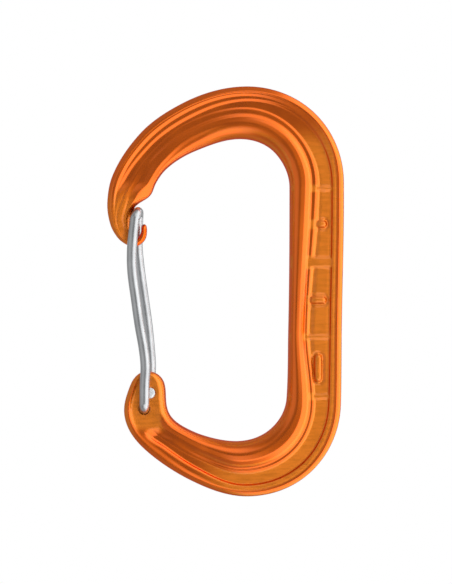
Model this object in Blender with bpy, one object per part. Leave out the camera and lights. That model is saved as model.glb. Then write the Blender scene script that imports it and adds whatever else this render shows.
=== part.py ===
"""Wire-gate climbing carabiner: forged aluminium body and a bent steel wire gate.

The carabiner stands upright in the XZ plane, its thickness runs along Y and its front looks along -Y.
The origin is the hanger seat, the highest point of the inner edge of the top arch.
The gate is one bent wire.  It flexes at the middle of its crossbar as it opens, so it is two nodes there.
"""
import math

import bmesh
import bpy
import numpy as np
from mathutils import Vector

MM = 0.001

# Outline of the forged body, walked from the hinge eye round the basket, spine and arch to the hook's lip.
# Each station: name, outer edge x and z, outer heading, inner edge x and z, inner heading.
# Lengths in mm from the hanger seat; headings in degrees, 0 along +X and 90 along +Z, never unwound.
STATIONS = [
    ("eye_tip", -22.2, -55.4, 180, -22.2, -55.4, 0),
    ("eye_top", -26.2, -58.7, 249, -18.4, -57.5, -62),
    ("eye_mid", -27.7, -64.7, 270, -17.7, -61.3, -88),
    ("heel", -26.0, -70.3, 302, -16.6, -66.0, -56),
    ("heel_low", -21.1, -75.5, 321, -11.8, -69.5, -26),
    ("basket_in", -11.9, -81.4, 333.5, -6.7, -71.3, -14),
    ("basket", 1.6, -85.3, 360, -1.0, -72.1, 0),
    ("corner_low", 16.1, -80.2, 400, 6.5, -69.8, 36),
    ("spine_foot", 24.1, -63.2, 448.5, 11.1, -61.8, 86),
    ("spine_low", 24.3, -45.5, 449.3, 11.5, -45.5, 88.7),
    ("spine_high", 24.8, -10.2, 450.5, 11.8, -11.6, 90),
    ("corner_top", 20.4, 3.3, 486, 8.6, -3.6, 131),
    ("arch", 1.7, 12.6, 540, 0.0, 0.0, 180),
    ("arch_nose", -14.3, 8.3, 568, -10.3, -2.7, 202),
    ("nose_top", -24.0, 1.2, 588, -17.4, -7.0, 222),
    ("nose", -30.5, -8.8, 608, -20.1, -10.6, 242),
    ("shoulder", -31.7, -15.0, 627, -21.1, -13.0, 240),
    ("nose_low", -30.9, -20.6, 648, -24.9, -16.0, 226),
    ("notch_wall", -29.5, -23.2, 665, -25.7, -19.2, 264),
    ("notch_low", -27.8, -24.8, 687, -25.8, -22.2, 276),
    ("hook", -25.3, -25.7, 720, -25.0, -23.7, 360),
    ("hook_out", -23.1, -24.6, 765, -23.8, -22.6, 425),
    ("lip", -22.2, -22.0, 810, -23.6, -21.3, 450),
    ("lip_tip", -22.9, -20.3, 900, -22.9, -20.3, 360),
]

# Rows of facets in each span between two stations.
SPAN_ROWS = [4, 4, 4, 4, 5, 5, 6, 7, 4, 6, 6, 7, 6, 5, 5, 3, 3, 2, 2, 2, 2, 2, 3]

# Forged section: half-thickness in mm along eight lines that run round the body.
# Each pair is (fraction of the way from the outer edge to the inner edge, half-thickness).
# Lines: rim crest, land, web starts, web ends, lip, crease, bead crest starts, bead crest ends.
EYE = 2.4
FIN = 2.1
WEB = 1.85
SECTIONS = {
    "eye_tip": [(.13, EYE), (.17, EYE), (.30, EYE), (.45, EYE), (.60, EYE), (.68, EYE), (.76, EYE), (.86, EYE)],
    "eye_top": [(.13, 2.9), (.18, 2.6), (.30, EYE), (.45, EYE), (.60, EYE), (.68, EYE), (.76, 2.5), (.86, 2.5)],
    "eye_mid": [(.11, 2.9), (.18, 2.6), (.30, EYE), (.50, EYE), (.62, EYE), (.70, EYE), (.80, 2.5), (.88, 2.5)],
    "heel": [(.11, 2.9), (.20, 2.6), (.35, 2.5), (.50, 2.5), (.60, 2.5), (.66, 2.6), (.76, 2.8), (.86, 2.8)],
    "heel_low": [(.11, 2.9), (.24, 2.6), (.37, 2.0), (.46, 2.0), (.54, 2.4), (.59, 2.5), (.71, 3.1), (.82, 3.2)],
    "basket_in": [(.11, 2.9), (.24, 2.6), (.31, 1.9), (.46, 1.9), (.52, 2.2), (.57, 2.3), (.69, 3.3), (.79, 3.4)],
    "basket": [(.11, 2.9), (.205, 2.6), (.235, WEB), (.41, WEB), (.47, 2.2), (.51, 2.2), (.65, 3.5), (.75, 3.6)],
    "corner_low": [(.10, 2.9), (.20, 2.6), (.23, WEB), (.42, WEB), (.475, 2.3), (.51, 2.3), (.655, 3.4), (.77, 3.5)],
    "spine_foot": [(.12, 2.9), (.21, 2.6), (.245, WEB), (.47, WEB), (.53, 2.3), (.57, 2.3), (.705, 3.3), (.80, 3.5)],
    "spine_low": [(.12, 2.9), (.21, 2.6), (.24, WEB), (.60, WEB), (.66, 2.1), (.70, 2.2), (.79, 3.3), (.855, 3.5)],
    "spine_high": [(.12, 2.9), (.21, 2.6), (.24, WEB), (.44, WEB), (.525, 2.3), (.59, 2.3), (.70, 3.2), (.79, 3.4)],
    "corner_top": [(.10, 2.8), (.20, 2.5), (.25, 2.0), (.44, 2.0), (.50, 2.2), (.56, 2.3), (.66, 2.8), (.77, 3.0)],
    "arch": [(.12, 2.8), (.19, 2.6), (.30, 2.3), (.40, 2.3), (.45, 2.4), (.53, 2.5), (.60, 2.7), (.77, 2.9)],
    "arch_nose": [(.13, 2.8), (.22, 2.6), (.36, 2.2), (.45, 2.2), (.52, 2.3), (.59, 2.4), (.68, 2.5), (.77, 2.5)],
    "nose_top": [(.13, 2.8), (.25, 2.4), (.39, 2.1), (.50, 2.1), (.58, 2.2), (.64, 2.3), (.76, 2.4), (.83, 2.4)],
    "nose": [(.13, 2.8), (.24, 2.5), (.34, 2.2), (.50, 2.2), (.59, 2.1), (.65, 2.1), (.75, 2.2), (.84, 2.3)],
    "shoulder": [(.12, 2.7), (.20, 2.6), (.32, 2.6), (.45, 2.5), (.51, 2.4), (.57, 2.4), (.65, 2.4), (.80, 1.9)],
    "nose_low": [(.12, 2.7), (.22, 2.7), (.34, 2.6), (.50, 2.5), (.57, 2.4), (.65, 2.4), (.75, 2.1), (.84, 1.9)],
    "notch_wall": [(.12, 2.5), (.22, 2.5), (.34, 2.5), (.50, 2.4), (.57, 2.4), (.65, 2.3), (.75, 2.1), (.84, 1.9)],
    "notch_low": [(.12, FIN), (.24, FIN), (.36, FIN), (.48, FIN), (.58, FIN), (.67, FIN), (.76, FIN), (.85, FIN)],
}
HOOK_SECTION = SECTIONS["notch_low"]

# Columns beside the two edges, as fractions from the outer edge, that carry the edge rounding.
OUTER_COLUMNS = [0.0, 0.01, 0.04]
INNER_COLUMNS = [0.90, 0.955, 0.988, 1.0]

# Width of the rounding at the outer edge, and at the inner edge where the rope bears, in mm.
OUTER_ROUND = 1.1
INNER_ROUND = {
    "eye_tip": 1.0, "eye_mid": 1.0, "heel": 1.6, "heel_low": 2.4, "basket": 3.2, "corner_low": 2.8,
    "spine_foot": 2.2, "spine_high": 2.2, "arch": 2.8, "arch_nose": 2.4, "nose_top": 1.8, "nose": 1.4,
    "shoulder": 1.1, "nose_low": 0.9, "lip_tip": 0.9,
}

# Ribs across the sunk web of the spine: centre height and thickness in mm.
RIBS = [(-12.0, 1.0), (-29.4, 2.1), (-47.0, 0.9), (-61.3, 1.0)]
RIB_LEFT = 15.4
RIB_RIGHT = 22.6
RIB_HALF = 2.25

# Wire gate.  The two cross holes of the hinge eye are offset, which is what springs the gate shut.
WIRE_R = 1.2
HOLE_R = 1.55
LEG_Y = 3.95
PIN_END = 2.35
HALF_GAP = 0.15
PIN_BEND = 1.6
LOOP_BEND = 1.7
# Which way each leg leaves the crossbar in XZ: the front one drops away at a slant.
LOOP_WAY = {-1: (-0.45, -0.89), 1: (-0.06, -1.0)}
FRONT_HOLE = (-22.81, -64.35)
BACK_PIN = (-21.47, -60.43)
BACK_HOLE = (-21.47, -60.56)
CROSSBAR = (-24.31, -17.44)
# Points that each leg's centreline passes, in mm, from the hinge eye up to the crossbar.
FRONT_LEG = [(-22.7, -58.4), (-22.5, -54.2), (-22.95, -49.8), (-23.95, -44.1), (-24.75, -38.4),
             (-25.6, -32.0), (-25.75, -27.4), (-25.5, -23.1), (-25.25, -20.7)]
BACK_LEG = [(-21.4, -56.0), (-21.4, -52.7), (-22.1, -45.0), (-23.0, -38.4), (-23.9, -32.0), (-24.5, -26.5),
            (-24.5, -22.5)]


def clear_scene():
    """Remove every object so that the build starts empty."""
    for item in list(bpy.data.objects):
        bpy.data.objects.remove(item, do_unlink=True)


def hobby_handle(a, b):
    """Length of a Hobby spline handle for the turning angles at its own end and at the far end."""
    bend = math.sqrt(2) * (math.sin(a) - math.sin(b) / 16) * (math.sin(b) - math.sin(a) / 16)
    top = 2 + bend * (math.cos(a) - math.cos(b))
    low = 1 + 0.5 * (math.sqrt(5) - 1) * math.cos(a) + 0.5 * (3 - math.sqrt(5)) * math.cos(b)
    return top / low / 3


def wrap(angle):
    """Angle in radians brought within half a turn of zero."""
    return (angle + math.pi) % (2 * math.pi) - math.pi


def span(start, heading_a, end, heading_b, steps):
    """Points of one smooth span that leaves start and reaches end with the given headings."""
    chord = end - start
    length = math.hypot(*chord)
    slope = math.atan2(chord[1], chord[0])
    head_a = math.radians(heading_a)
    head_b = math.radians(heading_b)
    turn_a = wrap(head_a - slope)
    turn_b = wrap(slope - head_b)
    out = np.array([math.cos(head_a), math.sin(head_a)])
    back = np.array([math.cos(head_b), math.sin(head_b)])
    handle_a = start + length * hobby_handle(turn_a, turn_b) * out
    handle_b = end - length * hobby_handle(turn_b, turn_a) * back
    t = np.linspace(0, 1, steps + 1)[:, None]
    return (1 - t) ** 3 * start + 3 * (1 - t) ** 2 * t * handle_a + 3 * (1 - t) * t * t * handle_b + t ** 3 * end


def outline(first, spans):
    """One edge of the body in mm.  first is 1 for the outer edge and 4 for the inner edge."""
    runs = []
    for here, there, steps in zip(STATIONS, STATIONS[1:], spans):
        start = np.array(here[first:first + 2])
        end = np.array(there[first:first + 2])
        runs.append(span(start, here[first + 2], end, there[first + 2], steps)[:-1])
    runs.append(np.array([STATIONS[-1][first:first + 2]]))
    return np.vstack(runs)


def station_values(table, width):
    """The table's values at every station, with the stations it leaves out filled in between."""
    names = [s[0] for s in STATIONS]
    known = [names.index(n) for n in table]
    rows = np.array([np.ravel(table[n]) for n in table], dtype=float)
    places = np.arange(len(names))
    return np.column_stack([np.interp(places, known, rows[:, k]) for k in range(width)])


def along(values, spans):
    """Station values carried smoothly onto every row."""
    rows = []
    for k, steps in enumerate(spans):
        for i in range(steps):
            t = i / steps
            t = t * t * (3 - 2 * t)
            rows.append(values[k] * (1 - t) + values[k + 1] * t)
    rows.append(values[-1])
    return np.array(rows)


def quarter(x):
    """Height of a quarter circle at x radii from its edge."""
    x = np.clip(x, 0, 1)
    return np.sqrt(1 - (1 - x) ** 2)


def edge_distance(points, edge):
    """Distance of each point from a polyline, both in mm."""
    best = np.full(len(points), 1e9)
    for a, b in zip(edge, edge[1:]):
        run = b - a
        t = np.clip((points - a) @ run / max(run @ run, 1e-12), 0, 1)
        near = a + t[:, None] * run
        best = np.minimum(best, np.linalg.norm(points - near, axis=1))
    return best


def body_grid():
    """Rows of (x, z, half-thickness) in mm across the body, from the outer edge to the inner edge."""
    sections = dict(SECTIONS)
    sections["lip_tip"] = HOOK_SECTION
    lines = along(station_values(sections, 16), SPAN_ROWS)
    inner_round = along(station_values(INNER_ROUND, 1), SPAN_ROWS)[:, 0]
    outer = outline(1, SPAN_ROWS)
    inner = outline(4, SPAN_ROWS)
    fine = [12] * len(SPAN_ROWS)
    outer_edge = outline(1, fine)
    inner_edge = outline(4, fine)
    count = len(outer)
    first_t = np.tile(OUTER_COLUMNS, (count, 1))
    last_t = np.tile(INNER_COLUMNS, (count, 1))
    t = np.hstack([first_t, lines[:, 0::2], last_t])
    first_h = np.repeat(lines[:, 1:2], len(OUTER_COLUMNS), axis=1)
    last_h = np.repeat(lines[:, 15:16], len(INNER_COLUMNS), axis=1)
    height = np.hstack([first_h, lines[:, 1::2], last_h])
    place = outer[:, None, :] * (1 - t[:, :, None]) + inner[:, None, :] * t[:, :, None]
    flat = place.reshape(-1, 2)
    from_outer = edge_distance(flat, outer_edge).reshape(t.shape)
    from_inner = edge_distance(flat, inner_edge).reshape(t.shape)
    height = height * quarter(from_outer / OUTER_ROUND) * quarter(from_inner / inner_round[:, None])
    height[:, 0] = 0
    height[:, -1] = 0
    return np.dstack([place, height])


def build_body_mesh(grid):
    """Close the grid into one solid: a front and a back that share the outer and inner edges."""
    rows, columns = grid.shape[:2]
    bm = bmesh.new()

    def vertex(x, y, z):
        return bm.verts.new((x * MM, y * MM, z * MM))

    rings = []
    for i in range(1, rows - 1):
        front = [vertex(x, -h, z) for x, z, h in grid[i]]
        back = [front[0]]
        back += [vertex(x, h, z) for x, z, h in grid[i][1:-1]]
        back.append(front[-1])
        rings.append((front, back))
    for (front_a, back_a), (front_b, back_b) in zip(rings, rings[1:]):
        for k in range(columns - 1):
            bm.faces.new((front_a[k], front_b[k], front_b[k + 1], front_a[k + 1]))
            bm.faces.new((back_a[k], back_a[k + 1], back_b[k + 1], back_b[k]))
    for end, (front, back) in ((0, rings[0]), (rows - 1, rings[-1])):
        x, z = grid[end][0][:2]
        tip = vertex(x, 0, z)
        for k in range(columns - 1):
            bm.faces.new((tip, front[k], front[k + 1]))
            bm.faces.new((tip, back[k + 1], back[k]))
    bmesh.ops.recalc_face_normals(bm, faces=bm.faces)
    bmesh.ops.triangulate(bm, faces=bm.faces)
    mesh = bpy.data.meshes.new("carabiner_body")
    bm.to_mesh(mesh)
    bm.free()
    return mesh


def add_box(name, low, high, collection):
    """Axis-aligned box between two corners in mm."""
    bm = bmesh.new()
    bmesh.ops.create_cube(bm, size=1.0)
    low = Vector(low) * MM
    high = Vector(high) * MM
    for v in bm.verts:
        v.co = Vector(l + (c + 0.5) * (h - l) for l, c, h in zip(low, v.co, high))
    mesh = bpy.data.meshes.new(name)
    bm.to_mesh(mesh)
    bm.free()
    item = bpy.data.objects.new(name, mesh)
    collection.objects.link(item)
    return item


def add_cross_cylinder(name, centre, radius, half, sides, collection):
    """Cylinder along Y through the body at an XZ point, all in mm."""
    bm = bmesh.new()
    bmesh.ops.create_cone(bm, cap_ends=True, segments=sides, radius1=radius * MM, radius2=radius * MM,
                          depth=2 * half * MM)
    mesh = bpy.data.meshes.new(name)
    bm.to_mesh(mesh)
    bm.free()
    item = bpy.data.objects.new(name, mesh)
    item.location = (centre[0] * MM, 0, centre[1] * MM)
    item.rotation_euler = (math.pi / 2, 0, 0)
    collection.objects.link(item)
    return item


def combine(item, tool, operation):
    """Add an exact Boolean with one tool and keep its result."""
    step = item.modifiers.new(tool.name, "BOOLEAN")
    step.object = tool
    step.operation = operation
    step.solver = "EXACT"
    bpy.context.view_layer.update()
    graph = bpy.context.evaluated_depsgraph_get()
    result = bpy.data.meshes.new_from_object(item.evaluated_get(graph))
    item.modifiers.clear()
    item.data = result


def smooth_through(points, step):
    """Catmull-Rom points through the given ones, about step mm apart."""
    ghost_a = 2 * points[0] - points[1]
    ghost_b = 2 * points[-1] - points[-2]
    knots = [ghost_a] + list(points) + [ghost_b]
    found = []
    for p0, p1, p2, p3 in zip(knots, knots[1:], knots[2:], knots[3:]):
        count = max(1, round(np.linalg.norm(p2 - p1) / step))
        for i in range(count):
            t = i / count
            found.append(0.5 * (2 * p1 + (p2 - p0) * t + (2 * p0 - 5 * p1 + 4 * p2 - p3) * t * t
                                + (3 * p1 - p0 - 3 * p2 + p3) * t ** 3))
    found.append(points[-1])
    return found


def corner(at, side, leg_way, bend, steps):
    """Quarter turn from a run along Y at an XZ point into a leg; side is -1 in front and 1 at the back."""
    turn = []
    for i in range(steps + 1):
        a = math.pi / 2 * i / steps
        y = side * (LEG_Y - bend + bend * math.sin(a))
        off = bend * (1 - math.cos(a))
        turn.append(np.array([at[0] + leg_way[0] * off, y, at[1] + leg_way[1] * off]))
    return turn


def unit(a, b):
    """Unit vector from one XZ point to another."""
    run = np.array(b, dtype=float) - np.array(a, dtype=float)
    return run / np.linalg.norm(run)


def gate_path(side, pin, leg):
    """Centreline of one half of the gate in mm: pin, bend, leg, bend and half of the crossbar."""
    leg_up = unit(pin, leg[0])
    path = [np.array([pin[0], -side * PIN_END, pin[1]])]
    path += corner(pin, side, leg_up, PIN_BEND, 5)
    loop = corner(CROSSBAR, side, LOOP_WAY[side], LOOP_BEND, 5)[::-1]
    knots = [path[-1]] + [np.array([x, side * LEG_Y, z]) for x, z in leg] + [loop[0]]
    path += smooth_through(knots, 2.6)[1:-1]
    path += loop
    path.append(np.array([CROSSBAR[0], side * HALF_GAP, CROSSBAR[1]]))
    return path


def add_wire(name, path, origin, material, collection):
    """Round wire along a path in mm, with its object origin on the given XZ joint axis."""
    curve = bpy.data.curves.new(name, "CURVE")
    curve.dimensions = "3D"
    curve.bevel_depth = WIRE_R * MM
    curve.bevel_resolution = 3
    curve.use_fill_caps = True
    spline = curve.splines.new("POLY")
    spline.points.add(len(path) - 1)
    for point, at in zip(spline.points, path):
        point.co = ((at[0] - origin[0]) * MM, at[1] * MM, (at[2] - origin[1]) * MM, 1)
    curve.materials.append(material)
    item = bpy.data.objects.new(name, curve)
    item.location = (origin[0] * MM, 0, origin[1] * MM)
    collection.objects.link(item)
    return item


def add_material(name, colour, metallic, roughness):
    """Plain Principled material."""
    material = bpy.data.materials.new(name)
    material.use_nodes = True
    shader = material.node_tree.nodes["Principled BSDF"]
    shader.inputs["Base Color"].default_value = (*colour, 1)
    shader.inputs["Metallic"].default_value = metallic
    shader.inputs["Roughness"].default_value = roughness
    return material


def build():
    """Build the carabiner."""
    clear_scene()
    root = bpy.context.scene.collection
    parts = bpy.data.collections.new("wire_gate_carabiner")
    cutters = bpy.data.collections.new("cutters")
    root.children.link(parts)
    root.children.link(cutters)
    anodised = add_material("anodised_orange", (0.80, 0.22, 0.03), 1.0, 0.35)
    steel = add_material("stainless_wire", (0.60, 0.61, 0.62), 1.0, 0.30)

    body = bpy.data.objects.new("carabiner_body", build_body_mesh(body_grid()))
    parts.objects.link(body)
    for k, (height, thick) in enumerate(RIBS):
        low = (RIB_LEFT, -RIB_HALF, height - thick / 2)
        high = (RIB_RIGHT, RIB_HALF, height + thick / 2)
        combine(body, add_box(f"rib_{k}", low, high, cutters), "UNION")
    for name, centre in (("front_wire_hole", FRONT_HOLE), ("back_wire_hole", BACK_HOLE)):
        combine(body, add_cross_cylinder(name, centre, HOLE_R, 8.0, 32, cutters), "DIFFERENCE")
    for polygon in body.data.polygons:
        polygon.use_smooth = True
    body.data.materials.clear()
    body.data.materials.append(anodised)
    for cutter in cutters.objects:
        cutter.hide_render = True
        cutter.display_type = "WIRE"

    add_wire("gate_wire_front", gate_path(-1, FRONT_HOLE, FRONT_LEG), FRONT_HOLE, steel, parts)
    add_wire("gate_wire_back", gate_path(1, BACK_PIN, BACK_LEG), CROSSBAR, steel, parts)
    bpy.context.view_layer.update()


build()
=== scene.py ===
"""Wire-gate climbing carabiner: a forged, orange anodised body and a bent steel wire gate.

Everything is in metres in the frame of the CAD model.  The front of the carabiner looks along -Y and the
origin is the hanger seat, at the middle of the inner edge of the top arch.  Shapes are worked out in mm.
"""
import math

import bmesh
import bpy
import numpy as np
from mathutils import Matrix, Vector


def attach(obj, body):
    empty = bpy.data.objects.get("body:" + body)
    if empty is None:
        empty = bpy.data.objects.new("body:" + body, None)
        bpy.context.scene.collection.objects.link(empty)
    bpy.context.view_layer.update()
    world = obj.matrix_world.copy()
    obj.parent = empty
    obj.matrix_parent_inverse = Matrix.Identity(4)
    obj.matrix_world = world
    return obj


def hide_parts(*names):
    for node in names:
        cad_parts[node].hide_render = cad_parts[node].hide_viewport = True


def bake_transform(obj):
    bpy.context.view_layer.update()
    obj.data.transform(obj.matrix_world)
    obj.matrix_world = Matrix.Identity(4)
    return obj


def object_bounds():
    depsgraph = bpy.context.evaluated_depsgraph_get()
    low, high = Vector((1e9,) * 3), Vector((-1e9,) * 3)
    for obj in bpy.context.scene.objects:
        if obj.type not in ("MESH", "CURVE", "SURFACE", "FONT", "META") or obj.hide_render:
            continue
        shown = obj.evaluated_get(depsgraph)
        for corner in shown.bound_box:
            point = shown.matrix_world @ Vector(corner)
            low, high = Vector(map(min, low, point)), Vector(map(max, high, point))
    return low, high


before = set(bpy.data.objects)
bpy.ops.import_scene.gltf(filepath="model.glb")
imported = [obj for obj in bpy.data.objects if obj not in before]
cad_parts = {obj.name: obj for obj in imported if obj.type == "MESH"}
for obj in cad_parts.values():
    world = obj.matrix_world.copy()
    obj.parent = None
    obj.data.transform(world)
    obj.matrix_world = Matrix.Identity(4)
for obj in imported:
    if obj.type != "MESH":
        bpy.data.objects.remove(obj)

CAD_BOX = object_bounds()
MM = 0.001

# ---------------------------------------------------------------- the forged body
# Outline, walked from the hinge eye round the basket, spine and arch to the hook's lip.
# Each station: name, outer edge x, z and heading, inner edge x, z and heading (mm and degrees).
STATIONS = [
    ("eye_tip", -22.2, -55.4, 180, -22.2, -55.4, 0),
    ("eye_top", -26.2, -58.7, 249, -18.4, -57.5, -62),
    ("eye_mid", -27.7, -64.7, 270, -17.7, -61.3, -88),
    ("heel", -26.0, -70.3, 302, -16.6, -66.0, -56),
    ("heel_low", -21.1, -75.5, 321, -11.8, -69.5, -26),
    ("basket_in", -11.9, -81.4, 333.5, -6.7, -71.3, -14),
    ("basket", 1.6, -85.3, 360, -1.0, -72.1, 0),
    ("corner_low", 16.1, -80.2, 400, 6.5, -69.8, 36),
    ("spine_foot", 24.1, -63.2, 448.5, 11.1, -61.8, 86),
    ("spine_low", 24.3, -45.5, 449.3, 11.5, -45.5, 88.7),
    ("spine_high", 24.8, -10.2, 450.5, 11.8, -11.6, 90),
    ("corner_top", 20.4, 3.3, 486, 8.6, -3.6, 131),
    ("arch", 1.7, 12.6, 540, 0.0, 0.0, 180),
    ("arch_nose", -14.3, 8.3, 568, -10.3, -2.7, 202),
    ("nose_top", -24.0, 1.2, 588, -17.4, -7.0, 222),
    ("nose", -30.5, -8.8, 608, -20.1, -10.6, 242),
    ("shoulder", -31.7, -15.0, 627, -21.1, -13.0, 240),
    ("nose_low", -30.9, -20.6, 648, -24.9, -16.0, 226),
    ("notch_wall", -29.5, -23.2, 665, -25.7, -19.2, 264),
    ("notch_low", -27.8, -24.8, 687, -25.8, -22.2, 276),
    ("hook", -25.3, -25.7, 720, -25.0, -23.7, 360),
    ("hook_out", -23.1, -24.6, 765, -23.8, -22.6, 425),
    ("lip", -22.2, -22.0, 810, -23.6, -21.3, 450),
    ("lip_tip", -22.9, -20.3, 900, -22.9, -20.3, 360),
]
# Spacing of the rows of vertices along the body, in mm.
ROW_STEP = 0.37

# Forged relief on fifteen lines that run round the body, at places along it given as a station and how far
# it is on to the next one.  First row: where each line lies, in hundredths of the way from the outer edge to
# the inner one.  Second row: half-thickness there, in hundredths of a mm.
# Lines: rim crest, foot of its step, terrace a, terrace b, terrace end, foot of the second step, web from
# and to, foot of the ledge, ledge from and to, bead foot, bead crest from and to, end of the bead's bevel.
RELIEF = [
    ("eye_tip", 0, (12, 15, 18, 22, 26, 30, 34, 40, 46, 52, 58, 64, 70, 78, 80),
     (260, 260, 260, 260, 260, 260, 260, 260, 260, 260, 260, 260, 260, 260, 260)),
    ("eye_top", 0, (13, 15, 17, 20, 24, 30, 34, 40, 46, 52, 58, 64, 70, 78, 80),
     (290, 285, 275, 256, 243, 240, 240, 240, 240, 240, 240, 244, 250, 258, 258)),
    ("eye_mid", 0, (9, 12.5, 15, 18, 22, 28, 34, 40, 45, 50, 55, 62, 70, 82, 83),
     (290, 284, 270, 253, 244, 241, 240, 240, 240, 240, 240, 240, 243, 252, 252)),
    ("heel", 0, (8.5, 12, 15, 20, 25, 29, 33, 40, 46, 50, 56, 62, 70, 80, 81),
     (285, 282, 272, 262, 257, 255, 255, 255, 255, 255, 255, 257, 264, 280, 280)),
    ("heel", 0.08, (8.7, 12, 16, 21, 26, 30, 33, 40, 46, 50, 56, 62, 70, 80, 81),
     (286, 284, 272, 264, 260, 256, 254, 253, 254, 256, 257, 260, 268, 285, 285)),
    ("heel", 0.5, (9, 12, 19, 25, 29, 33, 36, 41, 46, 51, 57, 62, 71, 80.5, 81.5),
     (288, 286, 270, 258, 238, 198, 186, 184, 186, 205, 222, 240, 285, 302, 302)),
    ("heel_low", 0, (9.5, 11.5, 22.5, 27.5, 32, 35.5, 38, 43, 47.5, 54, 58, 63, 72, 81.5, 82.5),
     (288, 288, 262, 258, 244, 203, 192, 190, 192, 226, 240, 256, 296, 315, 315)),
    ("basket_in", 0, (10, 12.2, 17.2, 24.5, 28.8, 31, 34, 42, 47, 52, 55.5, 60, 69, 77.5, 78.5),
     (292, 282, 266, 264, 248, 200, 195, 195, 197, 220, 226, 248, 308, 332, 332)),
    ("basket", 0, (9.5, 12.2, 15, 18, 20.0, 23.2, 26, 38, 41, 46.8, 49.5, 51.5, 65, 74.5, 75.5),
     (297, 262, 268, 262, 256, 180, 182, 185, 187, 228, 215, 226, 340, 360, 360)),
    ("corner_low", 0, (9, 10.8, 14, 17, 19.6, 22.6, 26, 39, 42, 47.5, 50, 52, 65.5, 77, 78),
     (298, 260, 266, 264, 258, 176, 182, 187, 190, 232, 218, 230, 335, 350, 350)),
    ("spine_foot", 0, (11.2, 13.2, 16.5, 19, 21.3, 24.3, 29, 44, 47, 53, 56, 57.5, 70.5, 79, 80),
     (298, 256, 262, 262, 258, 183, 186, 190, 190, 228, 218, 230, 330, 345, 345)),
    ("spine_low", 0, (11.2, 13.3, 17, 19, 20.9, 23.7, 29.6, 51.2, 60, 66, 68.6, 70, 79, 85.5, 86.5),
     (298, 254, 262, 262, 260, 178, 190, 196, 172, 216, 202, 218, 330, 345, 345)),
    ("spine_high", 0, (11.5, 13.5, 17, 19, 20.9, 23.9, 29, 41, 44.5, 52.5, 58.5, 60, 70, 79, 80),
     (298, 254, 262, 262, 258, 181, 186, 190, 186, 230, 226, 235, 320, 335, 335)),
    ("corner_top", 0, (8.8, 10.5, 15, 18, 20.5, 24, 29, 42, 45.5, 50, 56, 60, 67, 74, 75),
     (295, 270, 260, 252, 245, 206, 200, 200, 200, 226, 228, 252, 290, 302, 302)),
    ("arch", 0, (10.8, 12.5, 14.2, 18.8, 24.3, 29, 32, 38, 40.5, 43.7, 52.8, 58.5, 63, 68, 70),
     (295, 278, 282, 256, 254, 230, 228, 228, 228, 244, 245, 274, 280, 287, 287)),
    ("arch_nose", 0, (11, 13.5, 16, 22, 29.5, 36, 37, 39.5, 41, 43.5, 55, 59, 64, 69, 80),
     (295, 284, 284, 255, 252, 222, 220, 220, 220, 226, 230, 245, 252, 258, 236)),
    ("nose_top", 0, (11, 15, 18, 25.8, 32.2, 38.8, 40, 46, 48.5, 51, 58.5, 63.5, 70, 81, 90),
     (290, 280, 278, 242, 240, 210, 208, 208, 208, 214, 216, 230, 236, 248, 215)),
    ("nose", 0, (10, 14, 16.5, 23, 25, 33, 38, 42, 45, 49, 56, 63, 72, 83, 93),
     (285, 278, 276, 250, 244, 214, 212, 214, 218, 224, 214, 206, 214, 230, 190)),
    ("shoulder", 0, (9, 13, 15, 17, 19.5, 22, 25, 31, 35, 38.5, 44, 50, 57, 66, 92),
     (275, 274, 272, 266, 258, 262, 266, 260, 253, 262, 255, 244, 246, 246, 140)),
    ("nose_low", 0, (10, 14, 16, 18, 20, 22, 23.5, 25, 26.5, 29, 46, 54, 59, 64, 88),
     (270, 270, 270, 270, 269, 267, 264, 260, 262, 266, 260, 244, 244, 244, 175)),
    ("notch_wall", 0, (10, 14, 16, 18, 20, 22, 23.5, 25, 26.5, 29, 46, 54, 58, 62, 85),
     (250, 250, 250, 250, 250, 250, 249, 248, 248, 249, 248, 240, 240, 240, 180)),
    ("notch_low", 0, (12, 15, 18, 21, 25, 29, 34, 40, 46, 52, 58, 64, 70, 78, 80),
     (210, 210, 210, 210, 210, 210, 210, 210, 210, 210, 210, 210, 210, 210, 210)),
    ("lip_tip", 0, (12, 15, 18, 21, 25, 29, 34, 40, 46, 52, 58, 64, 70, 78, 80),
     (205, 205, 205, 205, 205, 205, 205, 205, 205, 205, 205, 205, 205, 205, 205)),
]
# Columns of vertices between neighbouring lines; the first and last runs lie on the rounded edges.
EDGE_COLUMNS = 9
BEAD_COLUMNS = 12
LINE_COLUMNS = [2, 3, 4, 4, 2, 3, 8, 4, 4, 3, 3, 8, 6, 3]
# Outer edge: the share of the rim that is a steep round, and where the chamfer above it starts, as a fraction
# of the crest height, first on the arch and nose and then on the spine and basket.
RIM_ROUND = 0.2
RIM_START = (0.66, 0.82)
# Width in mm over which creases across the body are softened.
SOFTEN = 0.09

# Ribs across the sunk web of the spine: centre height, thickness and top in mm.
RIBS = [(-11.8, 0.7, 2.2), (-29.4, 2.2, 2.3), (-47.2, 0.8, 2.2), (-61.4, 0.9, 2.1)]
# Plain round-ended pads on the web: centre x and z, half-length along x and along z, in mm.
PADS = [(18.6, -20.3, 2.1, 0.95), (18.3, -38.4, 2.3, 0.95), (18.6, -54.6, 0.95, 3.4)]
PAD_RISE = 0.62
PAD_MOAT = 0.4
MOAT_WIDTH = 0.22

# ---------------------------------------------------------------- the wire gate
WIRE_R = 1.2
# Bores of the back hole, which the open end of the linkage drifts in, and of the front hole, the hinge.
HOLE_R = 1.55
PIVOT_R = 1.3
LEG_Y = 3.95
PIN_END = 2.35
PIN_JOINT = 1.2
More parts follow.
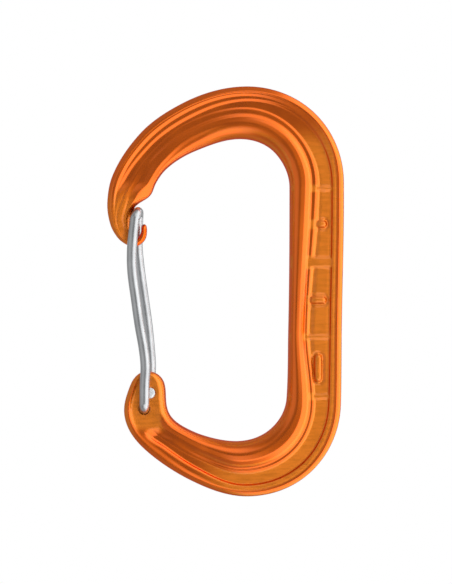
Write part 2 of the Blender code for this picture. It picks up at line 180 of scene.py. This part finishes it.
# Radius of each spread end, and of the mouth of its hole beyond MOUTH_Y.  The mouths are tighter than the
# ends, so the ends cut into them a little.
STAKE_R = {"wire_end_front": 1.28, "wire_end_back": 1.29}
MOUTH_R = 1.27
MOUTH_Y = 1.95
HOLE_SIDES = 64
PIN_BEND = 1.6
LOOP_BEND = 1.7
LOOP_WAY = {-1: (-0.45, -0.89), 1: (-0.06, -1.0)}
FRONT_HOLE = (-22.81, -64.35)
BACK_PIN = (-21.47, -60.43)
BACK_HOLE = (-21.47, -60.56)
CROSSBAR = (-24.31, -17.44)
FRONT_LEG = [(-22.7, -58.4), (-22.5, -54.2), (-22.95, -49.8), (-23.95, -44.1), (-24.75, -38.4),
             (-25.6, -32.0), (-25.75, -27.4), (-25.5, -23.1), (-25.25, -20.7)]
BACK_LEG = [(-21.4, -56.0), (-21.4, -52.7), (-22.1, -45.0), (-23.0, -38.4), (-23.9, -32.0), (-24.5, -26.5),
            (-24.5, -22.5)]


def hobby_handle(a, b):
    """Length of a Hobby spline handle for the turning angles at its own end and at the far end."""
    bend = math.sqrt(2) * (math.sin(a) - math.sin(b) / 16) * (math.sin(b) - math.sin(a) / 16)
    top = 2 + bend * (math.cos(a) - math.cos(b))
    low = 1 + 0.5 * (math.sqrt(5) - 1) * math.cos(a) + 0.5 * (3 - math.sqrt(5)) * math.cos(b)
    return top / low / 3


def wrap(angle):
    """Angle in radians brought within half a turn of zero."""
    return (angle + math.pi) % (2 * math.pi) - math.pi


def span(start, heading_a, end, heading_b, steps):
    """Points of one smooth span that leaves start and reaches end with the given headings."""
    chord = end - start
    length = math.hypot(*chord)
    slope = math.atan2(chord[1], chord[0])
    head_a = math.radians(heading_a)
    head_b = math.radians(heading_b)
    turn_a = wrap(head_a - slope)
    turn_b = wrap(slope - head_b)
    out = np.array([math.cos(head_a), math.sin(head_a)])
    back = np.array([math.cos(head_b), math.sin(head_b)])
    handle_a = start + length * hobby_handle(turn_a, turn_b) * out
    handle_b = end - length * hobby_handle(turn_b, turn_a) * back
    t = np.linspace(0, 1, steps + 1)[:, None]
    return (1 - t) ** 3 * start + 3 * (1 - t) ** 2 * t * handle_a + 3 * (1 - t) * t * t * handle_b + t ** 3 * end


def outline(first, spans):
    """One edge of the body in mm.  first is 1 for the outer edge and 4 for the inner edge."""
    runs = []
    for here, there, steps in zip(STATIONS, STATIONS[1:], spans):
        start = np.array(here[first:first + 2])
        end = np.array(there[first:first + 2])
        runs.append(span(start, here[first + 2], end, there[first + 2], steps)[:-1])
    runs.append(np.array([STATIONS[-1][first:first + 2]]))
    return np.vstack(runs)


def row_spans():
    """How many rows of vertices each span between two stations gets."""
    coarse = [16] * (len(STATIONS) - 1)
    middle = (outline(1, coarse) + outline(4, coarse)) / 2
    pieces = np.linalg.norm(np.diff(middle, axis=0), axis=1).reshape(-1, 16).sum(1)
    return [max(5, int(round(p / ROW_STEP))) for p in pieces], pieces


def carry(spans, lengths):
    """The relief table carried smoothly along the body onto every row: fractions across and heights in mm."""
    names = [s[0] for s in STATIONS]
    at = np.concatenate([[0], np.cumsum(lengths)])
    known = np.array([np.interp(names.index(n) + f, range(len(names)), at) for n, f, _, _ in RELIEF])
    values = np.array([np.concatenate([where, tall]) for _, _, where, tall in RELIEF], dtype=float) / 100
    where = []
    for k, steps in enumerate(spans):
        where += [at[k] + (at[k + 1] - at[k]) * i / steps for i in range(steps)]
    where = np.array(where + [at[-1]])
    step = np.diff(known)[:, None]
    rise = np.diff(values, axis=0) / step
    slope = np.zeros_like(values)
    inside = (rise[:-1] * rise[1:]) > 0
    harmonic = 2 * rise[:-1] * rise[1:] / np.where(inside, rise[:-1] + rise[1:], 1)
    slope[1:-1] = np.where(inside, harmonic, 0)
    k = np.clip(np.searchsorted(known, where, side="right") - 1, 0, len(known) - 2)
    u = np.clip((where - known[k]) / step[k, 0], 0, 1)[:, None]
    h = step[k]
    row = (values[k] * (1 + 2 * u) * (1 - u) ** 2 + slope[k] * h * u * (1 - u) ** 2
           + values[k + 1] * u * u * (3 - 2 * u) + slope[k + 1] * h * u * u * (u - 1))
    return row[:, :15], row[:, 15:]


def edge_distance(points, edge):
    """Distance of each point from a polyline, both in mm."""
    best = np.full(len(points), 1e9)
    for a, b in zip(edge, edge[1:]):
        run = b - a
        t = np.clip((points - a) @ run / max(run @ run, 1e-12), 0, 1)
        near = a + t[:, None] * run
        best = np.minimum(best, np.hypot(points[:, 0] - near[:, 0], points[:, 1] - near[:, 1]))
    return best


def smooth_step(low, high, x):
    """0 below low, 1 above high, smooth between."""
    t = np.clip((x - low) / (high - low), 0, 1)
    return t * t * (3 - 2 * t)


def smooth_max(a, b, k):
    """Larger of two heights, blended where they are within k."""
    h = np.clip(0.5 + 0.5 * (a - b) / k, 0, 1)
    return b + (a - b) * h + k * h * (1 - h)


def pad_height(x, z, pad):
    """Height in mm of one round-ended pad above the web, with a shallow moat round it."""
    px, pz, half_x, half_z = pad
    radius = min(half_x, half_z)
    away = np.hypot(np.clip(np.abs(x - px) - (half_x - radius), 0, None),
                    np.clip(np.abs(z - pz) - (half_z - radius), 0, None))
    top = PAD_RISE * (1 - smooth_step(radius - 0.3, radius, away)) * (1 - 0.3 * np.clip(away / radius, 0, 1) ** 2)
    return top - PAD_MOAT * np.exp(-((away - radius - MOAT_WIDTH) / MOAT_WIDTH) ** 2)


def body_rows():
    """Vertex rows (x, z, half-thickness) in mm across the body."""
    spans, lengths = row_spans()
    line_t, line_h = carry(spans, lengths)
    outer = outline(1, spans)
    inner = outline(4, spans)
    first = np.linspace(0, 1, EDGE_COLUMNS + 1)[:-1] ** 2.2
    columns_t = [line_t[:, :1] * f for f in first]
    columns_h = [line_h[:, :1]] * EDGE_COLUMNS
    for k, steps in enumerate(LINE_COLUMNS):
        for i in range(steps):
            f = i / steps
            columns_t.append(line_t[:, k:k + 1] * (1 - f) + line_t[:, k + 1:k + 2] * f)
            columns_h.append(line_h[:, k:k + 1] * (1 - f) + line_h[:, k + 1:k + 2] * f)
    for i in range(BEAD_COLUMNS + 1):
        f = math.sin(math.pi / 2 * i / BEAD_COLUMNS)
        columns_t.append(line_t[:, -1:] * (1 - f) + f)
        columns_h.append(line_h[:, -1:])
    t = np.hstack(columns_t)
    base = np.hstack(columns_h)
    place = outer[:, None, :] * (1 - t[:, :, None]) + inner[:, None, :] * t[:, :, None]
    width = np.linalg.norm(outer - inner, axis=1)[:, None]
    # soften the creases across the body
    across = t * np.maximum(width, 0.5)
    weight = np.exp(-0.5 * ((across[:, :, None] - across[:, None, :]) / SOFTEN) ** 2)
    weight = weight * np.maximum(np.gradient(across, axis=1)[:, None, :], 1e-9)
    base = (weight * base[:, None, :]).sum(2) / weight.sum(2)
    x = place[:, :, 0]
    z = place[:, :, 1]
    # pads and ribs on the web of the spine
    in_web = smooth_step(0.0, 0.02, t - line_t[:, 5:6]) * (1 - smooth_step(0.0, 0.02, t - line_t[:, 8:9]))
    for pad in PADS:
        base = base + in_web * pad_height(x, z, pad)
    in_spine = smooth_step(13.5, 15.0, x)
    for height, thick, top in RIBS:
        away = np.abs(z - height) - thick / 2
        rib = top - 1.6 * np.clip(away, 0, 9)
        base = base * (1 - in_spine) + smooth_max(base, rib, 0.1) * in_spine
    # the mouths of the two cross holes
    for hole in (FRONT_HOLE, BACK_HOLE):
        r = np.hypot(x - hole[0], z - hole[1])
        base = base - 0.15 * (1 - smooth_step(PIVOT_R, PIVOT_R + 0.22, r))
    flat = place.reshape(-1, 2)
    fine = [40] * len(spans)
    from_outer = edge_distance(flat, outline(1, fine)).reshape(t.shape)
    from_inner = edge_distance(flat, outline(4, fine)).reshape(t.shape)
    rim_width = np.maximum(line_t[:, :1] * width, 0.7)
    bead_width = np.maximum((1 - line_t[:, -1:]) * width, 0.7)
    shallow = smooth_step(-8, 4, x) * (1 - smooth_step(-6, 4, z))
    start = RIM_START[0] + (RIM_START[1] - RIM_START[0]) * shallow
    u = np.clip(from_outer / rim_width, 0, 1)
    rim = (start + (1 - start) * u) * (1 - (1 - np.clip(u / RIM_ROUND, 0, 1)) ** 2) ** 0.5
    bead = (1 - (1 - np.clip(from_inner / bead_width, 0, 1)) ** 2) ** 0.5
    height = base * rim * bead
    height[:, 0] = 0
    height[:, -1] = 0
    return np.dstack([x, z, height])


def body_mesh():
    """The forged body as one closed mesh, front and back alike."""
    grid = body_rows()
    rows, columns = grid.shape[:2]
    x = grid[1:-1, :, 0]
    z = grid[1:-1, :, 1]
    h = grid[1:-1, :, 2]
    front = np.stack([x, -h, z], 2)
    back = np.stack([x, h, z], 2)[:, 1:-1]
    count = rows - 2
    points = np.vstack([front.reshape(-1, 3), back.reshape(-1, 3),
                        [[grid[0, 0, 0], 0, grid[0, 0, 1]], [grid[-1, 0, 0], 0, grid[-1, 0, 1]]]]) * MM
    front_id = np.arange(count * columns).reshape(count, columns)
    back_id = np.arange(count * (columns - 2)).reshape(count, columns - 2) + count * columns
    back_id = np.hstack([front_id[:, :1], back_id, front_id[:, -1:]])
    first_tip = len(points) - 2
    last_tip = len(points) - 1

    def quads(ids, flip):
        a = ids[:-1, :-1].ravel()
        b = ids[1:, :-1].ravel()
        c = ids[1:, 1:].ravel()
        d = ids[:-1, 1:].ravel()
        order = (a, d, c, b) if flip else (a, b, c, d)
        return np.stack(order, 1).tolist()

    faces = quads(front_id, False) + quads(back_id, True)
    for k in range(columns - 1):
        faces.append([first_tip, front_id[0, k], front_id[0, k + 1]])
        faces.append([first_tip, back_id[0, k + 1], back_id[0, k]])
        faces.append([last_tip, front_id[-1, k + 1], front_id[-1, k]])
        faces.append([last_tip, back_id[-1, k], back_id[-1, k + 1]])
    mesh = bpy.data.meshes.new("forged_body")
    mesh.from_pydata(points.tolist(), [], [[int(i) for i in f] for f in faces])
    bm = bmesh.new()
    bm.from_mesh(mesh)
    bmesh.ops.recalc_face_normals(bm, faces=bm.faces)
    bm.to_mesh(mesh)
    bm.free()
    return mesh


def cross_hole(item, centre, bore, side):
    """Cut one of the round cross holes of the hinge eye, with a tighter mouth where the wire's end shows."""
    bm = bmesh.new()
    rings = []
    for y, r in ((-9, bore), (MOUTH_Y, bore), (MOUTH_Y, MOUTH_R), (9, MOUTH_R)):
        rings.append([bm.verts.new((r * math.cos(2 * math.pi * k / HOLE_SIDES) * MM, side * y * MM,
                                    r * math.sin(2 * math.pi * k / HOLE_SIDES) * MM)) for k in range(HOLE_SIDES)])
    for a, b in zip(rings, rings[1:]):
        for k in range(HOLE_SIDES):
            bm.faces.new((a[k], a[(k + 1) % HOLE_SIDES], b[(k + 1) % HOLE_SIDES], b[k]))
    bm.faces.new(rings[0][::-1])
    bm.faces.new(rings[-1])
    bmesh.ops.recalc_face_normals(bm, faces=bm.faces)
    mesh = bpy.data.meshes.new("hole_cutter")
    bm.to_mesh(mesh)
    bm.free()
    cutter = bpy.data.objects.new("hole_cutter", mesh)
    cutter.location = (centre[0] * MM, 0, centre[1] * MM)
    bpy.context.scene.collection.objects.link(cutter)
    step = item.modifiers.new("hole", "BOOLEAN")
    step.object = cutter
    step.operation = "DIFFERENCE"
    step.solver = "EXACT"
    bpy.context.view_layer.update()
    graph = bpy.context.evaluated_depsgraph_get()
    result = bpy.data.meshes.new_from_object(item.evaluated_get(graph))
    item.modifiers.clear()
    item.data = result
    bpy.data.objects.remove(cutter, do_unlink=True)


def smooth_through(points, step):
    """Catmull-Rom points through the given ones, about step mm apart."""
    ghost_a = 2 * points[0] - points[1]
    ghost_b = 2 * points[-1] - points[-2]
    knots = [ghost_a] + list(points) + [ghost_b]
    found = []
    for p0, p1, p2, p3 in zip(knots, knots[1:], knots[2:], knots[3:]):
        count = max(1, round(float(np.linalg.norm(p2 - p1)) / step))
        for i in range(count):
            t = i / count
            found.append(0.5 * (2 * p1 + (p2 - p0) * t + (2 * p0 - 5 * p1 + 4 * p2 - p3) * t * t
                                + (3 * p1 - p0 - 3 * p2 + p3) * t ** 3))
    found.append(points[-1])
    return found


def corner(at, side, leg_way, bend, steps):
    """Quarter turn from a run along Y at an XZ point into a leg; side is -1 in front and 1 at the back."""
    turn = []
    for i in range(steps + 1):
        a = math.pi / 2 * i / steps
        y = side * (LEG_Y - bend + bend * math.sin(a))
        off = bend * (1 - math.cos(a))
        turn.append(np.array([at[0] + leg_way[0] * off, y, at[1] + leg_way[1] * off]))
    return turn


def unit(a, b):
    """Unit vector from one XZ point to another."""
    run = np.array(b, dtype=float) - np.array(a, dtype=float)
    return run / np.linalg.norm(run)


def leg_path(side, pin, leg):
    """Centreline of one side of the gate, from inside its hole up to the middle of the crossbar."""
    path = [np.array([pin[0], side * PIN_JOINT, pin[1]])]
    path += corner(pin, side, unit(pin, leg[0]), PIN_BEND, 16)
    loop = corner(CROSSBAR, side, LOOP_WAY[side], LOOP_BEND, 16)[::-1]
    knots = [path[-1]] + [np.array([x, side * LEG_Y, z]) for x, z in leg] + [loop[0]]
    path += smooth_through(knots, 0.5)[1:-1]
    path += loop
    return path


def tube_mesh(name, path, radius, sides, fillet=0.12):
    """Round bar along a path in mm, with slightly broken end edges."""
    path = [np.array(p, dtype=float) for p in path]
    rings = []
    start_way = path[1] - path[0]
    start_way = start_way / np.linalg.norm(start_way)
    end_way = path[-1] - path[-2]
    end_way = end_way / np.linalg.norm(end_way)
    stations = [(path[0], radius - fillet), (path[0] + start_way * fillet, radius)]
    stations += [(p, radius) for p in path[1:-1]]
    stations += [(path[-1] - end_way * fillet, radius), (path[-1], radius - fillet)]
    ways = []
    for i in range(len(stations)):
        a = stations[max(i - 1, 0)][0]
        b = stations[min(i + 1, len(stations) - 1)][0]
        ways.append((b - a) / np.linalg.norm(b - a))
    normal = np.cross(ways[0], [0.3, 0.2, 0.93])
    normal = normal / np.linalg.norm(normal)
    bm = bmesh.new()
    for (centre, r), way in zip(stations, ways):
        normal = normal - way * (normal @ way)
        normal = normal / np.linalg.norm(normal)
        side = np.cross(way, normal)
        ring = []
        for k in range(sides):
            a = 2 * math.pi * k / sides
            p = centre + r * (math.cos(a) * normal + math.sin(a) * side)
            ring.append(bm.verts.new(p * MM))
        rings.append(ring)
    for a, b in zip(rings, rings[1:]):
        for k in range(sides):
            bm.faces.new((a[k], a[(k + 1) % sides], b[(k + 1) % sides], b[k]))
    bm.faces.new(rings[0][::-1])
    bm.faces.new(rings[-1])
    bmesh.ops.recalc_face_normals(bm, faces=bm.faces)
    for face in bm.faces:
        face.smooth = len(face.verts) == 4
    mesh = bpy.data.meshes.new(name)
    bm.to_mesh(mesh)
    bm.free()
    return mesh


def staked_end(name, side, pin, spread):
    """Last part of the wire inside its hole: straight, then spread a little and domed where it comes out."""
    profile = [(side * (PIN_JOINT - 0.02), 0.0), (side * (PIN_JOINT - 0.02), WIRE_R)]
    profile += [(-side * y, WIRE_R) for y in (0.0, 1.0, PIN_END - 0.5)]
    profile += [(-side * (PIN_END - 0.35), WIRE_R + 0.05), (-side * (PIN_END - 0.2), spread)]
    steps = 8
    for i in range(1, steps + 1):
        a = math.pi / 2 * i / steps
        r = spread * math.cos(a) ** 0.6 if i < steps else 0.0
        profile.append((-side * (PIN_END - 0.2 + 0.24 * math.sin(a)), r))
    bm = bmesh.new()
    sides = 48
    rings = []
    for y, r in profile:
        if r == 0.0:
            rings.append([bm.verts.new((pin[0] * MM, y * MM, pin[1] * MM))])
        else:
            turns = [2 * math.pi * k / sides for k in range(sides)]
            rings.append([bm.verts.new(((pin[0] + r * math.cos(a)) * MM, y * MM, (pin[1] + r * math.sin(a)) * MM))
                          for a in turns])
    for a, b in zip(rings, rings[1:]):
        for k in range(sides):
            corners = {a[k % len(a)]: 0, a[(k + 1) % len(a)]: 0, b[(k + 1) % len(b)]: 0, b[k % len(b)]: 0}
            bm.faces.new(list(corners))
    bmesh.ops.recalc_face_normals(bm, faces=bm.faces)
    for face in bm.faces:
        face.smooth = True
    mesh = bpy.data.meshes.new(name)
    bm.to_mesh(mesh)
    bm.free()
    return mesh


def new_object(name, mesh, material):
    """Object with one material, linked to the scene."""
    item = bpy.data.objects.new(name, mesh)
    item.data.materials.clear()
    item.data.materials.append(material)
    bpy.context.scene.collection.objects.link(item)
    return item


# ---------------------------------------------------------------- materials
class Nodes:
    """Short-hand for building one node tree."""

    def __init__(self, tree):
        self.tree = tree

    def add(self, kind, **settings):
        node = self.tree.nodes.new(kind)
        for key, value in settings.items():
            setattr(node, key, value)
        return node

    def link(self, a, b):
        self.tree.links.new(a, b)

    def maths(self, operation, a, b=None):
        node = self.add("ShaderNodeMath", operation=operation)
        for socket, value in zip(node.inputs, (a, b)):
            if value is None:
                continue
            if isinstance(value, (int, float)):
                socket.default_value = value
            else:
                self.link(value, socket)
        return node.outputs[0]

    def remap(self, value, from_low, from_high, to_low, to_high):
        node = self.add("ShaderNodeMapRange", interpolation_type="SMOOTHSTEP")
        self.link(value, node.inputs["Value"])
        limits = (("From Min", from_low), ("From Max", from_high), ("To Min", to_low), ("To Max", to_high))
        for key, number in limits:
            node.inputs[key].default_value = number
        return node.outputs["Result"]

    def noise(self, place, scale, detail, rough=0.5, stretch=None):
        if stretch is not None:
            squeeze = self.add("ShaderNodeMapping")
            squeeze.inputs["Scale"].default_value = stretch
            self.link(place, squeeze.inputs["Vector"])
            place = squeeze.outputs[0]
        node = self.add("ShaderNodeTexNoise")
        node.inputs["Scale"].default_value = scale
        node.inputs["Detail"].default_value = detail
        node.inputs["Roughness"].default_value = rough
        self.link(place, node.inputs["Vector"])
        return node.outputs["Fac"]

    def blend(self, amount, a, b):
        node = self.add("ShaderNodeMix", data_type="RGBA")
        self.link(amount, node.inputs["Factor"])
        for socket, value in ((node.inputs[6], a), (node.inputs[7], b)):
            if isinstance(value, tuple):
                socket.default_value = (*value, 1)
            else:
                self.link(value, socket)
        return node.outputs[2]

    def bump(self, height, strength, distance, normal=None):
        node = self.add("ShaderNodeBump")
        node.inputs["Strength"].default_value = strength
        node.inputs["Distance"].default_value = distance
        self.link(height, node.inputs["Height"])
        if normal is not None:
            self.link(normal, node.inputs["Normal"])
        return node.outputs["Normal"]


def new_material(name):
    """Empty Principled material and its node helper."""
    material = bpy.data.materials.new(name)
    material.use_nodes = True
    return material, Nodes(material.node_tree), material.node_tree.nodes["Principled BSDF"]


def anodised_material():
    """Orange anodised forging: glossy on the tumbled crests and rougher, faintly scored, in the sunk web, with
    painted light and shade: a deeper orange on the crests and a paler one in the web.
    """
    material, n, shader = new_material("anodised_orange")
    place = n.add("ShaderNodeTexCoord").outputs["Object"]
    # mask of the rougher sunk web, which also carries its painted paler, lit-looking orange
    satin_and_painted_light = n.add("ShaderNodeAttribute", attribute_name="satin_and_painted_light").outputs["Fac"]
    cloud = n.noise(place, 160, 3)
    grain = n.noise(place, 1400, 3, 0.6)
    scoring = n.noise(place, 1500, 3, 0.6, (0.16, 1, 1))
    # painted light and shade: the deeper orange stands in for the shade on the glossy crests, the paler one for
    # the lit look of the sunk web
    body = n.blend(n.remap(cloud, 0.3, 0.7, 0, 1), (0.74, 0.122, 0.0008), (0.78, 0.134, 0.0018))
    painted_lit_web_colour = n.blend(n.remap(scoring, 0.35, 0.65, 0, 1), (0.76, 0.208, 0.012), (0.83, 0.234, 0.018))
    colour = n.blend(satin_and_painted_light, body, painted_lit_web_colour)
    n.link(colour, shader.inputs["Base Color"])
    smooth_rough = n.remap(cloud, 0.25, 0.75, 0.27, 0.32)
    web_rough = n.remap(scoring, 0.3, 0.7, 0.44, 0.54)
    mix = n.add("ShaderNodeMix", data_type="FLOAT")
    n.link(satin_and_painted_light, mix.inputs["Factor"])
    n.link(smooth_rough, mix.inputs[2])
    n.link(web_rough, mix.inputs[3])
    n.link(mix.outputs[0], shader.inputs["Roughness"])
    score_height = n.maths("MULTIPLY", scoring, satin_and_painted_light)
    normal = n.bump(grain, 0.10, 0.00003)
    normal = n.bump(score_height, 0.4, 0.00010, normal)
    n.link(normal, shader.inputs["Normal"])
    shader.inputs["Metallic"].default_value = 1.0
    shader.inputs["Specular Tint"].default_value = (0.95, 0.26, 0.04, 1)
    shader.inputs["Coat Weight"].default_value = 0.26
    shader.inputs["Coat Roughness"].default_value = 0.12
    shader.inputs["Coat IOR"].default_value = 1.8
    return material


def steel_material():
    """Drawn stainless wire: bright, with faint draw lines along it."""
    material, n, shader = new_material("stainless_wire")
    place = n.add("ShaderNodeTexCoord").outputs["Object"]
    cloud = n.noise(place, 220, 3)
    lines = n.noise(place, 1500, 3, 0.6, (1, 1, 0.05))
    colour = n.blend(n.remap(cloud, 0.3, 0.7, 0, 1), (0.41, 0.42, 0.43), (0.47, 0.48, 0.49))
    n.link(colour, shader.inputs["Base Color"])
    n.link(n.remap(lines, 0.3, 0.7, 0.27, 0.36), shader.inputs["Roughness"])
    n.link(n.bump(lines, 0.12, 0.00003), shader.inputs["Normal"])
    shader.inputs["Metallic"].default_value = 1.0
    return material


def cut_steel_material():
    """Sheared and tumbled end of the wire: paler and rougher than its drawn side."""
    material, n, shader = new_material("cut_wire_end")
    place = n.add("ShaderNodeTexCoord").outputs["Object"]
    cloud = n.noise(place, 900, 3)
    colour = n.blend(n.remap(cloud, 0.3, 0.7, 0, 1), (0.68, 0.71, 0.73), (0.80, 0.83, 0.85))
    n.link(colour, shader.inputs["Base Color"])
    n.link(n.remap(cloud, 0.3, 0.7, 0.48, 0.60), shader.inputs["Roughness"])
    n.link(n.bump(cloud, 0.15, 0.00004), shader.inputs["Normal"])
    shader.inputs["Metallic"].default_value = 1.0
    return material


def floor_material():
    """Pale matt studio floor."""
    material, n, shader = new_material("studio_floor")
    place = n.add("ShaderNodeTexCoord").outputs["Object"]
    speckle = n.noise(place, 60, 3)
    n.link(n.blend(speckle, (0.86, 0.86, 0.85), (0.90, 0.90, 0.89)), shader.inputs["Base Color"])
    shader.inputs["Roughness"].default_value = 0.8
    return material


# ---------------------------------------------------------------- build
orange = anodised_material()
steel = steel_material()
cut_steel = cut_steel_material()

body = new_object("forged_body", body_mesh(), orange)
cross_hole(body, FRONT_HOLE, PIVOT_R, 1)
cross_hole(body, BACK_HOLE, HOLE_R, -1)
for polygon in body.data.polygons:
    polygon.use_smooth = True
spots = np.zeros(len(body.data.vertices) * 3)
body.data.vertices.foreach_get("co", spots)
spots = spots.reshape(-1, 3) / MM
# the rougher finish with its painted paler, lit-looking orange lies on the sunk faces, told by their height,
# except on the polished ledge beside the bead
facing = np.abs(spots[:, 1])
sunk = smooth_step(1.2, 1.45, facing) * (1 - smooth_step(2.66, 2.8, facing))
ledge = smooth_step(1.98, 2.1, facing) * (1 - smooth_step(2.42, 2.52, facing))
for height, thick, _ in RIBS:
    ledge = ledge * smooth_step(thick / 2 + 0.2, thick / 2 + 0.7, np.abs(spots[:, 2] - height))
for px, pz, half_x, half_z in PADS:
    beyond = np.maximum(np.abs(spots[:, 0] - px) - half_x, np.abs(spots[:, 2] - pz) - half_z)
    ledge = ledge * smooth_step(0.0, 0.3, beyond)
# the paler painted lit tone is kept to the basket and spine, the hinge eye and the hook
right_half = smooth_step(-14, 0, spots[:, 0]) * (1 - smooth_step(-3, 5, spots[:, 2])) * (1 - ledge)
near_eye = (1 - smooth_step(-19, -16, spots[:, 0])) * smooth_step(-70.5, -68, spots[:, 2])
near_eye = near_eye * (1 - smooth_step(-50, -45, spots[:, 2]))
near_hook = 0.85 * (1 - smooth_step(-27, -24, spots[:, 0])) * (1 - smooth_step(-17, -9, spots[:, 2]))
satin_and_painted_light = sunk * np.clip(right_half + near_eye + near_hook, 0, 1)
layer = body.data.attributes.new("satin_and_painted_light", "FLOAT", "POINT")
layer.data.foreach_set("value", satin_and_painted_light.astype(np.float32))
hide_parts("carabiner_body")
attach(body, "body")

front_path = leg_path(-1, FRONT_HOLE, FRONT_LEG)
back_path = leg_path(1, BACK_PIN, BACK_LEG)
bar_ends = LEG_Y - LOOP_BEND
bar = [np.array([CROSSBAR[0], y, CROSSBAR[1]]) for y in np.linspace(-bar_ends, bar_ends, 22)[1:-1]]
wire = new_object("gate_wire", tube_mesh("gate_wire", front_path + bar + back_path[::-1], WIRE_R, 40), steel)
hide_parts("gate_wire_front", "gate_wire_back")
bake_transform(wire)
WIRE_ENDS = (("wire_end_front", -1, FRONT_HOLE, "gate"), ("wire_end_back", 1, BACK_PIN, "gate_back"))
for name, side, pin, rides in WIRE_ENDS:
    end = new_object(name, staked_end(name, side, pin, STAKE_R[name]), cut_steel)
    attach(end, rides)

# ---------------------------------------------------------------- studio
FLOOR_RADIUS = 0.6
FLOOR_DROP = 0.11
low = Vector(CAD_BOX[0])
centre = (low + Vector(CAD_BOX[1])) / 2

bm = bmesh.new()
bmesh.ops.create_circle(bm, cap_ends=True, segments=96, radius=FLOOR_RADIUS)
mesh = bpy.data.meshes.new("studio_floor")
bm.to_mesh(mesh)
bm.free()
floor = new_object("studio_floor", mesh, floor_material())
floor.location = (centre.x, 0, low.z - FLOOR_DROP)
floor.visible_glossy = False

world = bpy.data.worlds.new("light_tent")
bpy.context.scene.world = world
world.use_nodes = True
n = Nodes(world.node_tree)
background = world.node_tree.nodes["Background"]
out = world.node_tree.nodes["World Output"]
way = n.add("ShaderNodeSeparateXYZ")
n.link(n.add("ShaderNodeTexCoord").outputs["Generated"], way.inputs[0])
dx, dy, dz = way.outputs
# soft boxes in a dim tent: right, top, low and left, each by the direction that a ray leaves in
not_left = n.remap(dx, -0.27, -0.03, 0, 1)
front = n.remap(dy, -0.62, -0.35, 1, 0)
high = n.remap(dz, 0.2, 0.45, 0, 1)
low_down = n.remap(dz, -0.45, -0.2, 1, 0)
right_box = n.maths("MULTIPLY", n.remap(dx, 0.24, 0.52, 0, 1.7), n.remap(dy, 0.2, 0.6, 1, 0))
top_box = n.maths("MULTIPLY", n.maths("MULTIPLY", high, not_left), n.maths("MULTIPLY", front, 1.1))
low_box = n.maths("MULTIPLY", n.maths("MULTIPLY", low_down, not_left), n.maths("MULTIPLY", front, 1.45))
level = n.remap(n.maths("ABSOLUTE", dz), 0.3, 0.55, 1, 0)
left_glow = n.maths("MULTIPLY", n.remap(dx, -0.45, -0.2, 0.45, 0), level)
left_box = n.maths("MULTIPLY", left_glow, n.remap(dy, -0.5, -0.2, 1, 0))
tent = n.maths("MAXIMUM", n.maths("MAXIMUM", right_box, top_box), n.maths("MAXIMUM", low_box, left_box))
around = n.remap(dy, -0.72, -0.2, 0.30, 0.54)
value = n.maths("ADD", tent, around)
# the camera itself sees plain white behind the object
camera_ray = n.add("ShaderNodeLightPath").outputs["Is Camera Ray"]
seen = n.maths("ADD", n.maths("MULTIPLY", value, n.maths("SUBTRACT", 1.0, camera_ray)), camera_ray)
n.link(seen, background.inputs["Strength"])
background.inputs["Color"].default_value = (1, 1, 1, 1)

lamp = bpy.data.lights.new("floor_light", "AREA")
lamp.shape = "DISK"
lamp.size = 0.25
lamp.energy = 1.8
over = bpy.data.objects.new("floor_light", lamp)
over.location = (centre.x + 0.15, -0.28, low.z + 0.30)
over.visible_camera = False
over.visible_glossy = False
bpy.context.scene.collection.objects.link(over)

camera = bpy.data.objects.new("camera", bpy.data.cameras.new("camera"))
bpy.context.scene.collection.objects.link(camera)
DISTANCE = 0.9
VIEW_HEIGHT = 0.1395
VIEW_CENTRE = (-0.00335, -0.0365)
SENSOR = 36
camera.data.sensor_fit = "VERTICAL"
camera.data.sensor_height = SENSOR
camera.data.lens = SENSOR * DISTANCE / VIEW_HEIGHT
camera.data.clip_start = 0.05
camera.data.clip_end = 20
camera.location = (VIEW_CENTRE[0], -DISTANCE, VIEW_CENTRE[1])
camera.rotation_euler = (math.pi / 2, 0, 0)
bpy.context.scene.camera = camera
bpy.context.scene.view_settings.view_transform = "Standard"
